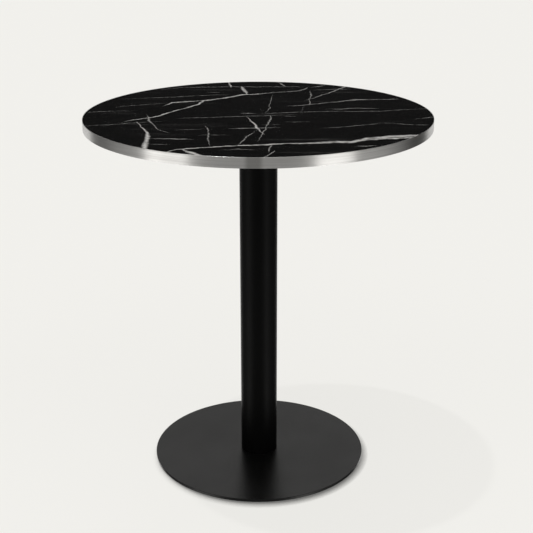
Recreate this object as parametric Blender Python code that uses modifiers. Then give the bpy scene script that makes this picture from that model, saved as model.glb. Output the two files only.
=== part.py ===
"""Round pedestal table: a marble-look disc top with a metal edge band, on a tube column and a flat steel foot.

Frame: metres, +Z up, origin on the floor under the column's axis, +Y away from the front.
Pieces that touch on the real table keep a gap of FIT here, so that each stays a solid of its own.
"""

import math

import bmesh
import bpy
from mathutils import Matrix, Vector

# Driving dimensions, in metres
TABLE_HEIGHT = 0.760
TOP_DIAMETER = 0.700
TOP_THICKNESS = 0.020
COLUMN_DIAMETER = 0.078
COLUMN_WALL = 0.002
FOOT_DIAMETER = 0.455
FOOT_THICKNESS = 0.006
FLOOR_GAP = 0.005

FIT = 0.0003
MERGE = 0.00001

# Top: a core board between two laminate sheets, inside a bent metal band
LAMINATE_THICKNESS = 0.0008
BAND_THICKNESS = 0.0012
BAND_SEAM = 0.0004
TOP_UNDERSIDE = TABLE_HEIGHT - TOP_THICKNESS
BOARD_RADIUS = TOP_DIAMETER / 2 - BAND_THICKNESS - FIT
CORE_BOTTOM = TOP_UNDERSIDE + LAMINATE_THICKNESS + FIT
CORE_TOP = TABLE_HEIGHT - LAMINATE_THICKNESS - FIT

# Spider: a hub disc welded to the column, with four flat arms that carry the top
SPIDER_THICKNESS = 0.005
SPIDER_TOP = TOP_UNDERSIDE - FIT
SPIDER_BOTTOM = SPIDER_TOP - SPIDER_THICKNESS
HUB_RADIUS = 0.065
ARM_COUNT = 4
ARM_TURN = math.radians(45)
ARM_WIDTH = 0.032
ARM_END_RADIUS = 0.210
ARM_CORNER = 0.012
ARM_HOLE_RADII = (0.120, 0.190)

# Top screws: M6 button heads, washers, and threaded inserts in the core
M6_RADIUS = 0.003
M6_LENGTH = 0.020
M6_HEAD_RADIUS = 0.00525
M6_HEAD_CROWN_RADIUS = 0.0035
M6_HEAD_HEIGHT = 0.0033
M6_SOCKET_RADIUS = 0.0023
M6_SOCKET_DEPTH = 0.002
WASHER_RADIUS = 0.0062
WASHER_THICKNESS = 0.0016
INSERT_RADIUS = 0.0045
INSERT_FLANGE_RADIUS = 0.0055
INSERT_FLANGE_THICKNESS = 0.001
INSERT_LENGTH = 0.013
INSERT_HOLE_DEPTH = 0.0142

# Column and the plug welded in its foot
COLUMN_RADIUS = COLUMN_DIAMETER / 2
BORE_RADIUS = COLUMN_RADIUS - COLUMN_WALL
FOOT_BOTTOM = FLOOR_GAP
FOOT_TOP = FOOT_BOTTOM + FOOT_THICKNESS
COLUMN_BOTTOM = FOOT_TOP + FIT
COLUMN_TOP = SPIDER_BOTTOM - FIT
PLUG_THICKNESS = 0.012
FOOT_EDGE_CHAMFER = 0.0006

# Foot screws: M8 countersunk, up through the foot plate into the plug
FOOT_SCREW_COUNT = 4
FOOT_SCREW_CIRCLE = 0.024
M8_RADIUS = 0.004
M8_HEAD_RADIUS = 0.008
M8_HEAD_HEIGHT = 0.004
M8_LENGTH = 0.016
M8_SOCKET_RADIUS = 0.0029
M8_SOCKET_DEPTH = 0.003

# Levelling glides: a threaded stud with a nylon pad, in a blind tapped hole under the foot plate
GLIDE_COUNT = 4
GLIDE_CIRCLE = 0.190
GLIDE_TURN = math.radians(45)
GLIDE_HOLE_DEPTH = 0.0048
STUD_RADIUS = 0.004
STUD_CHAMFER = 0.0006
STUD_IN_PLATE = 0.0045
PAD_RADIUS = 0.016
PAD_THICKNESS = FLOOR_GAP - FIT
PAD_SOCKET_DEPTH = 0.0028
PAD_CHAMFER = 0.0010

LARGE_SEGMENTS = 96
COLUMN_SEGMENTS = 48
HUB_SEGMENTS = 48
PAD_SEGMENTS = 24
SMALL_SEGMENTS = 12
PAST = 0.001


def clear_scene():
    for thing in list(bpy.data.objects):
        bpy.data.objects.remove(thing)


def new_collection(name):
    collection = bpy.data.collections.new(name)
    bpy.context.scene.collection.children.link(collection)
    return collection


def new_material(name, colour, roughness, metallic):
    material = bpy.data.materials.new(name)
    material.use_nodes = True
    shader = material.node_tree.nodes["Principled BSDF"]
    shader.inputs["Base Color"].default_value = (*colour, 1.0)
    shader.inputs["Roughness"].default_value = roughness
    shader.inputs["Metallic"].default_value = metallic
    return material


def add_object(name, mesh, collection, material=None, location=(0, 0, 0), parent=None):
    thing = bpy.data.objects.new(name, mesh)
    collection.objects.link(thing)
    thing.location = location
    thing.parent = parent
    if material:
        mesh.materials.clear()
        mesh.materials.append(material)
    return thing


def shade_round(mesh):
    mesh.shade_smooth()
    mesh.set_sharp_from_angle(angle=math.radians(30))


def cylinder_mesh(name, radius, bottom, top, segments):
    """An upright cylinder between two heights."""
    shape = bmesh.new()
    bmesh.ops.create_cone(
        shape,
        cap_ends=True,
        segments=segments,
        radius1=radius,
        radius2=radius,
        depth=top - bottom,
        matrix=Matrix.Translation((0, 0, (top + bottom) / 2)),
    )
    mesh = bpy.data.meshes.new(name)
    shape.to_mesh(mesh)
    shape.free()
    shade_round(mesh)
    return mesh


def box_mesh(name, low, high):
    low, high = Vector(low), Vector(high)
    shape = bmesh.new()
    place = Matrix.LocRotScale((low + high) / 2, None, high - low)
    bmesh.ops.create_cube(shape, size=1.0, matrix=place)
    mesh = bpy.data.meshes.new(name)
    shape.to_mesh(mesh)
    shape.free()
    return mesh


def profile_mesh(name, points, closed):
    """A half section in the XZ plane, as (radius, height) points that run down the outer side."""
    shape = bmesh.new()
    corners = [shape.verts.new((radius, 0, height)) for radius, height in points]
    for first, second in zip(corners, corners[1:]):
        shape.edges.new((first, second))
    if closed:
        shape.edges.new((corners[-1], corners[0]))
    mesh = bpy.data.meshes.new(name)
    shape.to_mesh(mesh)
    shape.free()
    return mesh


def turn(thing, segments):
    """Turns an object's half section into a round solid."""
    screw = thing.modifiers.new("turned", "SCREW")
    screw.axis = "Z"
    screw.angle = math.tau
    screw.steps = segments
    screw.render_steps = segments
    screw.use_merge_vertices = True
    screw.merge_threshold = MERGE


def turned_object(name, points, segments, collection, material, closed=False, **place):
    thing = add_object(name, profile_mesh(name, points, closed), collection, material, **place)
    turn(thing, segments)
    return thing


def as_cutter(thing):
    thing.hide_render = True
    thing.display_type = "WIRE"
    return thing


def cut(thing, *cutters):
    """Removes each cutter from the object, with the default exact solver."""
    for cutter in cutters:
        hole = thing.modifiers.new("cut_" + cutter.name, "BOOLEAN")
        hole.operation = "DIFFERENCE"
        hole.object = cutter


def around(count, radius, start):
    """Evenly spaced (angle, x, y) places on a circle."""
    for step in range(count):
        angle = start + step * math.tau / count
        yield angle, radius * math.cos(angle), radius * math.sin(angle)


def screw_places():
    """The (x, y) of each top screw, two to an arm."""
    for angle, _, _ in around(ARM_COUNT, 1, ARM_TURN):
        for radius in ARM_HOLE_RADII:
            yield radius * math.cos(angle), radius * math.sin(angle)


def drill(name, places, radius, bottom, top, segments, cutters):
    """One round cutter at each place."""
    mesh = cylinder_mesh(name, radius, bottom, top, segments)
    found = []
    for number, (x, y) in enumerate(places, 1):
        found.append(as_cutter(add_object(f"{name}_{number}", mesh, cutters, location=(x, y, 0))))
    return found


def make_top(parts, cutters, look):
    places = list(screw_places())
    laminate = cylinder_mesh(
        "marble_laminate",
        BOARD_RADIUS,
        TABLE_HEIGHT - LAMINATE_THICKNESS,
        TABLE_HEIGHT,
        LARGE_SEGMENTS,
    )
    add_object("marble_laminate", laminate, parts, look["marble_laminate"])

    core = add_object(
        "core_board",
        cylinder_mesh("core_board", BOARD_RADIUS, CORE_BOTTOM, CORE_TOP, LARGE_SEGMENTS),
        parts,
        look["core_board"],
    )
    insert_holes = drill(
        "insert_hole",
        places,
        INSERT_FLANGE_RADIUS + FIT,
        CORE_BOTTOM - PAST,
        CORE_BOTTOM + INSERT_HOLE_DEPTH,
        SMALL_SEGMENTS,
        cutters,
    )
    cut(core, *insert_holes)

    backing = add_object(
        "backing_laminate",
        cylinder_mesh(
            "backing_laminate",
            BOARD_RADIUS,
            TOP_UNDERSIDE,
            TOP_UNDERSIDE + LAMINATE_THICKNESS,
            LARGE_SEGMENTS,
        ),
        parts,
        look["backing_laminate"],
    )
    backing_holes = drill(
        "backing_hole",
        places,
        M6_RADIUS + FIT,
        TOP_UNDERSIDE - PAST,
        CORE_BOTTOM,
        SMALL_SEGMENTS,
        cutters,
    )
    cut(backing, *backing_holes)

    outer = TOP_DIAMETER / 2
    inner = outer - BAND_THICKNESS
    section = [
        (outer, TABLE_HEIGHT),
        (outer, TOP_UNDERSIDE),
        (inner, TOP_UNDERSIDE),
        (inner, TABLE_HEIGHT),
    ]
    band = turned_object(
        "edge_band", section, LARGE_SEGMENTS, parts, look["edge_band"], closed=True
    )
    seam = box_mesh(
        "band_seam",
        (-BAND_SEAM / 2, -outer - PAST, TOP_UNDERSIDE - PAST),
        (BAND_SEAM / 2, -inner + PAST, TABLE_HEIGHT + PAST),
    )
    cut(band, as_cutter(add_object("band_seam", seam, cutters)))


def make_top_fixings(parts, cutters, look):
    """An insert, a screw and a washer at each of the spider's holes."""
    bore = M6_RADIUS + FIT
    insert_top = CORE_BOTTOM + INSERT_LENGTH
    flange_top = CORE_BOTTOM + INSERT_FLANGE_THICKNESS
    insert_section = [
        (bore, insert_top),
        (INSERT_RADIUS, insert_top),
        (INSERT_RADIUS, flange_top),
        (INSERT_FLANGE_RADIUS, flange_top),
        (INSERT_FLANGE_RADIUS, CORE_BOTTOM),
        (bore, CORE_BOTTOM),
    ]
    washer_top = SPIDER_BOTTOM - FIT
    washer_bottom = washer_top - WASHER_THICKNESS
    washer_section = [
        (bore, washer_top),
        (WASHER_RADIUS, washer_top),
        (WASHER_RADIUS, washer_bottom),
        (bore, washer_bottom),
    ]
    head_top = washer_bottom - FIT
    head_bottom = head_top - M6_HEAD_HEIGHT
    screw_section = [
        (0, head_top + M6_LENGTH),
        (M6_RADIUS, head_top + M6_LENGTH),
        (M6_RADIUS, head_top),
        (M6_HEAD_RADIUS, head_top),
        (M6_HEAD_RADIUS, head_top - M6_HEAD_HEIGHT / 3),
        (M6_HEAD_CROWN_RADIUS, head_bottom),
        (0, head_bottom),
    ]
    sockets = drill(
        "top_screw_socket",
        screw_places(),
        M6_SOCKET_RADIUS,
        head_bottom - PAST,
        head_bottom + M6_SOCKET_DEPTH,
        6,
        cutters,
    )
    for number, (x, y) in enumerate(screw_places(), 1):
        place = {"location": (x, y, 0)}
        turned_object(
            f"threaded_insert_{number}",
            insert_section,
            SMALL_SEGMENTS,
            parts,
            look["threaded_insert"],
            closed=True,
            **place,
        )
        turned_object(
            f"washer_{number}",
            washer_section,
            SMALL_SEGMENTS,
            parts,
            look["washer"],
            closed=True,
            **place,
        )
        screw = turned_object(
            f"top_screw_{number}",
            screw_section,
            SMALL_SEGMENTS,
            parts,
            look["top_screw"],
            **place,
        )
        cut(screw, sockets[number - 1])


def make_spider(parts, cutters, look):
    hub = cylinder_mesh("spider_hub", HUB_RADIUS, SPIDER_BOTTOM, SPIDER_TOP, HUB_SEGMENTS)
    add_object("spider_hub", hub, parts, look["spider_hub"])
    clearance = as_cutter(
        add_object(
            "hub_clearance",
            cylinder_mesh(
                "hub_clearance",
                HUB_RADIUS + FIT,
                SPIDER_BOTTOM - PAST,
                SPIDER_TOP + PAST,
                HUB_SEGMENTS,
            ),
            cutters,
        )
    )
    holes = drill(
        "arm_hole",
        screw_places(),
        M6_RADIUS + FIT,
        SPIDER_BOTTOM - PAST,
        SPIDER_TOP + PAST,
        SMALL_SEGMENTS,
        cutters,
    )
    inner_end = HUB_RADIUS - ARM_WIDTH / 4
    for number, (angle, _, _) in enumerate(around(ARM_COUNT, 1, ARM_TURN)):
        name = f"spider_arm_{number + 1}"
        shape = bmesh.new()
        low = Vector((inner_end, -ARM_WIDTH / 2, SPIDER_BOTTOM))
        high = Vector((ARM_END_RADIUS, ARM_WIDTH / 2, SPIDER_TOP))
        place = Matrix.LocRotScale((low + high) / 2, None, high - low)
        bmesh.ops.create_cube(shape, size=1.0, matrix=place)
        end_edges = [
            edge
            for edge in shape.edges
            if all(abs(corner.co.x - ARM_END_RADIUS) < FIT for corner in edge.verts)
            and abs(edge.verts[0].co.z - edge.verts[1].co.z) > FIT
        ]
        bmesh.ops.bevel(
            shape, geom=end_edges, offset=ARM_CORNER, segments=5, profile=0.5, affect="EDGES"
        )
        mesh = bpy.data.meshes.new(name)
        shape.to_mesh(mesh)
        shape.free()
        arm = add_object(name, mesh, parts, look["spider_arm"])
        arm.rotation_euler.z = angle
        first_hole = number * len(ARM_HOLE_RADII)
        cut(arm, clearance, *holes[first_hole : first_hole + len(ARM_HOLE_RADII)])


def make_column(parts, cutters, look):
    tube_section = [
        (COLUMN_RADIUS, COLUMN_TOP),
        (COLUMN_RADIUS, COLUMN_BOTTOM),
        (BORE_RADIUS, COLUMN_BOTTOM),
        (BORE_RADIUS, COLUMN_TOP),
    ]
    turned_object(
        "column_tube", tube_section, COLUMN_SEGMENTS, parts, look["column_tube"], closed=True
    )
    plug = add_object(
        "column_plug",
        cylinder_mesh(
            "column_plug",
            BORE_RADIUS - FIT,
            COLUMN_BOTTOM,
            COLUMN_BOTTOM + PLUG_THICKNESS,
            HUB_SEGMENTS,
        ),
        parts,
        look["column_plug"],
    )
    places = [(x, y) for _, x, y in around(FOOT_SCREW_COUNT, FOOT_SCREW_CIRCLE, 0)]
    tapped_holes = drill(
        "plug_hole",
        places,
        M8_RADIUS + FIT,
        COLUMN_BOTTOM - PAST,
        COLUMN_BOTTOM + PLUG_THICKNESS + PAST,
        SMALL_SEGMENTS,
        cutters,
    )
    cut(plug, *tapped_holes)


def make_foot(parts, cutters, look):
    edge = FOOT_DIAMETER / 2
    plate_section = [
        (0, FOOT_TOP),
        (edge - FOOT_EDGE_CHAMFER, FOOT_TOP),
        (edge, FOOT_TOP - FOOT_EDGE_CHAMFER),
        (edge, FOOT_BOTTOM + FOOT_EDGE_CHAMFER),
        (edge - FOOT_EDGE_CHAMFER, FOOT_BOTTOM),
        (0, FOOT_BOTTOM),
    ]
    plate = turned_object(
        "foot_plate", plate_section, LARGE_SEGMENTS, parts, look["foot_plate"]
    )

    # The screw's countersunk section, and the hole that it lies in, FIT larger all round
    head_bottom = FOOT_BOTTOM + FIT
    neck = head_bottom + M8_HEAD_HEIGHT
    screw_section = [
        (0, head_bottom + M8_LENGTH),
        (M8_RADIUS, head_bottom + M8_LENGTH),
        (M8_RADIUS, neck),
        (M8_HEAD_RADIUS, head_bottom),
        (0, head_bottom),
    ]
    hole_radius = M8_RADIUS + FIT
    mouth_radius = M8_HEAD_RADIUS + 2 * FIT
    hole_section = [
        (0, FOOT_TOP + PAST),
        (hole_radius, FOOT_TOP + PAST),
        (hole_radius, neck),
        (mouth_radius, head_bottom),
        (mouth_radius, FOOT_BOTTOM - PAST),
        (0, FOOT_BOTTOM - PAST),
    ]
    places = [(x, y) for _, x, y in around(FOOT_SCREW_COUNT, FOOT_SCREW_CIRCLE, 0)]
    sockets = drill(
        "foot_screw_socket",
        places,
        M8_SOCKET_RADIUS,
        FOOT_BOTTOM - PAST,
        head_bottom + M8_SOCKET_DEPTH,
        6,
        cutters,
    )
    for number, (x, y) in enumerate(places, 1):
        hole = turned_object(
            f"countersink_{number}",
            hole_section,
            SMALL_SEGMENTS,
            cutters,
            None,
            location=(x, y, 0),
        )
        cut(plate, as_cutter(hole))
        screw = turned_object(
            f"foot_screw_{number}",
            screw_section,
            SMALL_SEGMENTS,
            parts,
            look["foot_screw"],
            location=(x, y, 0),
        )
        cut(screw, sockets[number - 1])

    glide_places = [(x, y) for _, x, y in around(GLIDE_COUNT, GLIDE_CIRCLE, GLIDE_TURN)]
    glide_holes = drill(
        "glide_hole",
        glide_places,
        STUD_RADIUS + FIT,
        FOOT_BOTTOM - PAST,
        FOOT_BOTTOM + GLIDE_HOLE_DEPTH,
        SMALL_SEGMENTS,
        cutters,
    )
    cut(plate, *glide_holes)


def make_glides(parts, look):
    """Each glide stands on an empty on its own screw axis, at floor level."""
    stud_top = FOOT_BOTTOM + STUD_IN_PLATE
    socket_bottom = PAD_THICKNESS - PAD_SOCKET_DEPTH
    stud_section = [
        (0, stud_top),
        (STUD_RADIUS - STUD_CHAMFER, stud_top),
        (STUD_RADIUS, stud_top - STUD_CHAMFER),
        (STUD_RADIUS, socket_bottom + FIT),
        (0, socket_bottom + FIT),
    ]
    socket_radius = STUD_RADIUS + FIT
    pad_section = [
        (0, socket_bottom),
        (socket_radius, socket_bottom),
        (socket_radius, PAD_THICKNESS),
        (PAD_RADIUS - PAD_CHAMFER, PAD_THICKNESS),
        (PAD_RADIUS, PAD_THICKNESS - PAD_CHAMFER),
        (PAD_RADIUS, PAD_CHAMFER),
        (PAD_RADIUS - PAD_CHAMFER, 0),
        (0, 0),
    ]
    for number, (_, x, y) in enumerate(around(GLIDE_COUNT, GLIDE_CIRCLE, GLIDE_TURN), 1):
        axis = bpy.data.objects.new(f"glide_axis_{number}", None)
        axis.location = (x, y, 0)
        parts.objects.link(axis)
        turned_object(
            f"glide_stud_{number}",
            stud_section,
            SMALL_SEGMENTS,
            parts,
            look["glide_stud"],
            parent=axis,
        )
        turned_object(
            f"glide_pad_{number}",
            pad_section,
            PAD_SEGMENTS,
            parts,
            look["glide_pad"],
            parent=axis,
        )


def make_materials():
    powder_black = (0.022, 0.022, 0.022)
    zinc = (0.55, 0.56, 0.58)
    return {
        "marble_laminate": new_material("marble_laminate", (0.008, 0.008, 0.008), 0.25, 0.0),
        "core_board": new_material("core_board", (0.34, 0.22, 0.12), 0.85, 0.0),
        "backing_laminate": new_material("backing_laminate", (0.015, 0.015, 0.015), 0.55, 0.0),
        "edge_band": new_material("edge_band", (0.62, 0.61, 0.59), 0.30, 1.0),
        "threaded_insert": new_material("threaded_insert", zinc, 0.35, 1.0),
        "washer": new_material("washer", zinc, 0.35, 1.0),
        "top_screw": new_material("top_screw", zinc, 0.30, 1.0),
        "spider_hub": new_material("spider_hub", powder_black, 0.5, 0.0),
        "spider_arm": new_material("spider_arm", powder_black, 0.5, 0.0),
        "column_tube": new_material("column_tube", powder_black, 0.45, 0.0),
        "column_plug": new_material("column_plug", (0.30, 0.30, 0.31), 0.5, 1.0),
        "foot_plate": new_material("foot_plate", (0.030, 0.030, 0.030), 0.5, 0.0),
        "foot_screw": new_material("foot_screw", (0.04, 0.04, 0.04), 0.4, 0.6),
        "glide_stud": new_material("glide_stud", zinc, 0.35, 1.0),
        "glide_pad": new_material("glide_pad", (0.02, 0.02, 0.02), 0.6, 0.0),
    }


def main():
    clear_scene()
    parts = new_collection("pedestal_table")
    cutters = new_collection("cutters")
    look = make_materials()
    make_top(parts, cutters, look)
    make_top_fixings(parts, cutters, look)
    make_spider(parts, cutters, look)
    make_column(parts, cutters, look)
    make_foot(parts, cutters, look)
    make_glides(parts, look)


main()
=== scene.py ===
# %% [markdown]
# # A round pedestal table
# The table has a disc top faced with black marble print and edged with a brushed steel band, a slim black
# column and a flat black foot on four levelling glides. The solid model fixes every size and place, so this
# script first loads it, and then builds the surfaces that are seen: smooth turned metal, screws, weld beads
# and the veined face. Everything is in metres, with the floor at height 0 and the front towards -Y.

# %% Load the frame
import math

import bmesh
import bpy
from mathutils import Matrix, Vector


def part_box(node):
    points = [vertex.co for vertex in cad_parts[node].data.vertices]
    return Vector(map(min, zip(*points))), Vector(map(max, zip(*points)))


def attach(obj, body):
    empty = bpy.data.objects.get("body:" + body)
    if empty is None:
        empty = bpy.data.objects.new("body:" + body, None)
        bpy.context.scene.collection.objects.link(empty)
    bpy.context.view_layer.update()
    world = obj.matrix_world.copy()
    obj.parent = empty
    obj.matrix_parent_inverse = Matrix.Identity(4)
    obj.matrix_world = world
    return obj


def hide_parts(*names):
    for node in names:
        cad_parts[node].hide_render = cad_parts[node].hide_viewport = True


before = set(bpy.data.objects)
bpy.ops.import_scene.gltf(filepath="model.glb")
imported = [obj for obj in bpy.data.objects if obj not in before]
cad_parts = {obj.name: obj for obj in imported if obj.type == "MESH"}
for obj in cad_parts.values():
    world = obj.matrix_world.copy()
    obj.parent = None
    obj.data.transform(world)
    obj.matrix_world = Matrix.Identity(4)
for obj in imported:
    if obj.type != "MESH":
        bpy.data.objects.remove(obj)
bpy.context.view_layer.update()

TABLE = "table"
MM = 0.001


def linked(name, data):
    """A new object in the scene, at the origin."""
    made = bpy.data.objects.new(name, data)
    bpy.context.scene.collection.objects.link(made)
    return made


# %% [markdown]
# ## Camera
# The camera stands a little over two metres away at chest height, 1.25 m, and is tilted slightly down, so
# that the top reads as a flat ellipse. The long lens keeps the column's sides nearly parallel. The aim is
# level across, so a single turn about X is enough. The odd figures are the result of fitting one camera to
# the table's outlines, outside this script.

# %% Camera
CAMERA_PLACE = Vector((0.0164, -2.268, 1.2506))
CAMERA_TILT_DOWN = 0.34524
CAMERA_LENS = 77.39

camera_data = bpy.data.cameras.new("camera")
camera_data.lens = CAMERA_LENS
camera_data.sensor_width = 36.0
camera = linked("camera", camera_data)
camera.location = CAMERA_PLACE
camera.rotation_euler = (math.pi / 2 - CAMERA_TILT_DOWN, 0, 0)
bpy.context.scene.camera = camera
print("camera at", [round(value, 3) for value in camera.location])

# %% [markdown]
# ## Sums as node trees
# A material's pattern is a chain of Math nodes, and wiring them by hand hides the sum that they do. So one
# small class wraps an output socket and gives it the usual operators: adding two wires adds a Math node.
# Every other node comes from one method, which sets its settings first and then fills its sockets.

# %% A wire and a node builder
class Wire:
    """An output socket that can be added, subtracted, multiplied and divided."""

    def __init__(self, nodes, socket):
        self.nodes = nodes
        self.socket = socket

    def __add__(self, other):
        return self.nodes.maths("ADD", self, other)

    def __sub__(self, other):
        return self.nodes.maths("SUBTRACT", self, other)

    def __rsub__(self, other):
        return self.nodes.maths("SUBTRACT", other, self)

    def __mul__(self, other):
        return self.nodes.maths("MULTIPLY", self, other)

    def __truediv__(self, other):
        return self.nodes.maths("DIVIDE", self, other)

    def __abs__(self):
        return self.nodes.maths("ABSOLUTE", self)

    __radd__ = __add__
    __rmul__ = __mul__


def find_socket(sockets, key):
    """A socket by its place, its identifier or its name."""
    if isinstance(key, int):
        return sockets[key]
    for socket in sockets:
        if key == socket.identifier:
            return socket
    return sockets[key]


class Nodes:
    """Builds one node tree."""

    def __init__(self, tree):
        self.tree = tree

    def node(self, kind, settings=None, sockets=None, out=0):
        made = self.tree.nodes.new(kind)
        for name, value in (settings or {}).items():
            if name == "points":
                self.set_points(made.mapping, value)
            else:
                setattr(made, name, value)
        for key, value in (sockets or {}).items():
            self.fill(find_socket(made.inputs, key), value)
        return Wire(self, find_socket(made.outputs, out))

    def fill(self, socket, value):
        if isinstance(value, Wire):
            self.tree.links.new(value.socket, socket)
        else:
            socket.default_value = value

    def set_points(self, mapping, points):
        mapping.extend = "HORIZONTAL"
        curve = mapping.curves[0]
        while len(curve.points) < len(points):
            curve.points.new(0.5, 0.5)
        for point, place in zip(curve.points, points):
            point.location = place
            point.handle_type = "VECTOR"
        mapping.update()

    def maths(self, operation, *values):
        settings = {"operation": operation}
        return self.node("ShaderNodeMath", settings, dict(enumerate(values)))

    def clamped(self, value):
        settings = {"operation": "ADD", "use_clamp": True}
        return self.node("ShaderNodeMath", settings, {0: value, 1: 0.0})

    def dot(self, vector, numbers):
        settings = {"operation": "DOT_PRODUCT"}
        return self.node("ShaderNodeVectorMath", settings, {0: vector, 1: numbers}, "Value")

    def ease(self, value, low, high, at_low=0.0, at_high=1.0):
        """A smooth step from at_low to at_high, as value goes from low to high."""
        settings = {"interpolation_type": "SMOOTHSTEP"}
        sockets = {"Value": value, "From Min": low, "From Max": high}
        sockets.update({"To Min": at_low, "To Max": at_high})
        return self.node("ShaderNodeMapRange", settings, sockets)

    def curve(self, value, points):
        """A curve through the given (place, height) points, both from 0 to 1."""
        return self.node("ShaderNodeFloatCurve", {"points": points}, {"Value": value})

    def stretched(self, place, stretch):
        settings = {"operation": "MULTIPLY"}
        return self.node("ShaderNodeVectorMath", settings, {0: place, 1: stretch})

    def noise(self, place, scale, detail=2.0, rough=0.5, out="Fac"):
        sockets = {"Vector": place, "Scale": scale, "Detail": detail, "Roughness": rough}
        return self.node("ShaderNodeTexNoise", {}, sockets, out)

    def blend_colours(self, share, first, second):
        settings = {"data_type": "RGBA"}
        sockets = {"Factor_Float": share, "A_Color": first, "B_Color": second}
        return self.node("ShaderNodeMix", settings, sockets, "Result_Color")


class Finish(Nodes):
    """A material with one Principled shader."""

    def __init__(self, name, **constants):
        self.material = bpy.data.materials.new(name)
        self.material.use_nodes = True
        super().__init__(self.material.node_tree)
        self.shader = self.tree.nodes["Principled BSDF"]
        for key, value in constants.items():
            self.shader.inputs[key.replace("_", " ")].default_value = value

    def place(self):
        return self.node("ShaderNodeTexCoord", {}, {}, "Object")

    def feed(self, **sockets):
        for key, value in sockets.items():
            self.fill(self.shader.inputs[key.replace("_", " ")], value)

    def bump(self, height, depth):
        """Raises the surface by height, from 0 to 1, times depth in metres."""
        sockets = {"Height": height, "Distance": depth, "Strength": 1.0}
        self.feed(Normal=self.node("ShaderNodeBump", {}, sockets))


def colour(red, green=None, blue=None):
    """A linear colour: one number for a grey, or three."""
    if green is None:
        return (red, red, red, 1.0)
    return (red, green, blue, 1.0)


def split(nodes, vector):
    """A vector's three numbers as wires."""
    first = nodes.node("ShaderNodeSeparateXYZ", {}, {0: vector})
    parts = first.socket.node.outputs
    return [Wire(nodes, part) for part in parts]


print("node builder ready")

# %% [markdown]
# ## Powder coat
# The column, the spider and the foot are sprayed with black powder that melts into a satin skin. Close up it
# has a fine orange-peel grain, under a millimetre across, and slightly shinier and duller patches. A flat
# black would look like a hole, so the grain goes into the bump and the patches into the roughness.

# %% Powder coat
def powder_coat(name, black, shine_low, shine_high, gloss):
    finish = Finish(name, Specular_IOR_Level=gloss)
    place = finish.place()
    patches = finish.noise(place, 9.0, 3.0)
    finish.feed(Roughness=finish.ease(patches, 0.3, 0.7, shine_low, shine_high))
    speck = finish.noise(place, 900.0, 2.0)
    shade = finish.ease(speck, 0.35, 0.7)
    finish.feed(Base_Color=finish.blend_colours(shade, colour(black * 0.8), colour(black * 1.25)))
    grain = finish.noise(place, 1400.0, 3.0, 0.6)
    finish.bump(grain, 0.05 * MM)
    return finish.material


column_coat = powder_coat("column_powder_coat", 0.003, 0.37, 0.42, 0.05)
foot_coat = powder_coat("foot_powder_coat", 0.003, 0.285, 0.315, 0.22)
spider_coat = powder_coat("spider_powder_coat", 0.010, 0.45, 0.60, 0.35)
print("coats:", column_coat.name, foot_coat.name, spider_coat.name)

# %% [markdown]
# ## Brushed steel band
# The band is a strip that was brushed along its length before it was bent round the board, so its scratches
# run round the edge. Scratches blur a reflection across their own direction: here that is up and down, which
# is why the band shows clean upright bars of light and dark. The shader's anisotropy does the blur, and a
# noise squeezed flat in height draws the scratches. A darker patch, about three centimetres wide, is painted
# into the band's colour at the front, and it stays there from every side and under every light. It is taken
# here for the place where the strip's two ends meet and were rubbed flat, which is a guess, and it is painted
# into the finish, so it doesn't move with the light as a reflection would.

# %% Brushed steel
def brushed_steel():
    finish = Finish("brushed_steel", Metallic=1.0, Anisotropic=0.85, Anisotropic_Rotation=0.25)
    place = finish.place()
    long_lines = finish.noise(finish.stretched(place, (5.0, 5.0, 1500.0)), 1.0, 4.0, 0.6)
    fine_lines = finish.noise(finish.stretched(place, (14.0, 14.0, 5200.0)), 1.0, 2.0)
    lines = finish.clamped(long_lines * 0.65 + fine_lines * 0.35)
    streaks = finish.ease(lines, 0.36, 0.64)
    brushed = finish.blend_colours(streaks, colour(0.50, 0.495, 0.48), colour(0.66, 0.655, 0.64))
    across, along, _ = split(finish, place)
    # A darker patch, about three centimetres wide, is painted into the band's colour at the front.
    patch = finish.ease(across, -0.026, -0.014) * finish.ease(across, 0.002, 0.014, 1.0, 0.0)
    patch = patch * finish.ease(along, -0.30, -0.20, 0.5, 0.0)
    finish.feed(Base_Color=finish.blend_colours(patch, brushed, colour(0.14, 0.135, 0.125)))
    finish.feed(Roughness=streaks * -0.06 + 0.34)
    finish.bump(lines, 0.012 * MM)
    return finish.material


steel_band_finish = brushed_steel()
print("band finish:", steel_band_finish.name)

# %% [markdown]
# ## Zinc plate, black oxide, nylon and raw steel
# The small hardware has its own finishes. Zinc plate is bright and slightly blue with cloudy dull patches,
# the foot screws are blackened with oil, the glide pads are moulded nylon with a faint eggshell texture, and
# the plug inside the column is plain turned steel. One function makes them all from two tones and a grain.

# %% Small hardware finishes
def cloudy_finish(name, dark, light, rough_low, rough_high, metallic, grain_scale, grain_depth):
    finish = Finish(name, Metallic=metallic)
    place = finish.place()
    clouds = finish.ease(finish.noise(place, 260.0, 4.0, 0.6), 0.35, 0.65)
    finish.feed(Base_Color=finish.blend_colours(clouds, dark, light))
    finish.feed(Roughness=clouds * (rough_high - rough_low) + rough_low)
    finish.bump(finish.noise(place, grain_scale, 2.0), grain_depth)
    return finish.material


zinc_plate = cloudy_finish(
    "zinc_plate", colour(0.42, 0.44, 0.47), colour(0.62, 0.64, 0.66), 0.26, 0.42, 1.0, 2500.0, 0.01 * MM
)
black_oxide = cloudy_finish(
    "black_oxide", colour(0.016, 0.016, 0.018), colour(0.045, 0.044, 0.046), 0.30, 0.50, 0.7, 2200.0, 0.01 * MM
)
moulded_nylon = cloudy_finish(
    "moulded_nylon", colour(0.014), colour(0.022), 0.50, 0.62, 0.0, 1600.0, 0.03 * MM
)
turned_steel = cloudy_finish(
    "turned_steel", colour(0.26, 0.26, 0.27), colour(0.40, 0.40, 0.41), 0.30, 0.45, 1.0, 1800.0, 0.02 * MM
)
print("hardware finishes:", zinc_plate.name, black_oxide.name, moulded_nylon.name, turned_steel.name)

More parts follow.
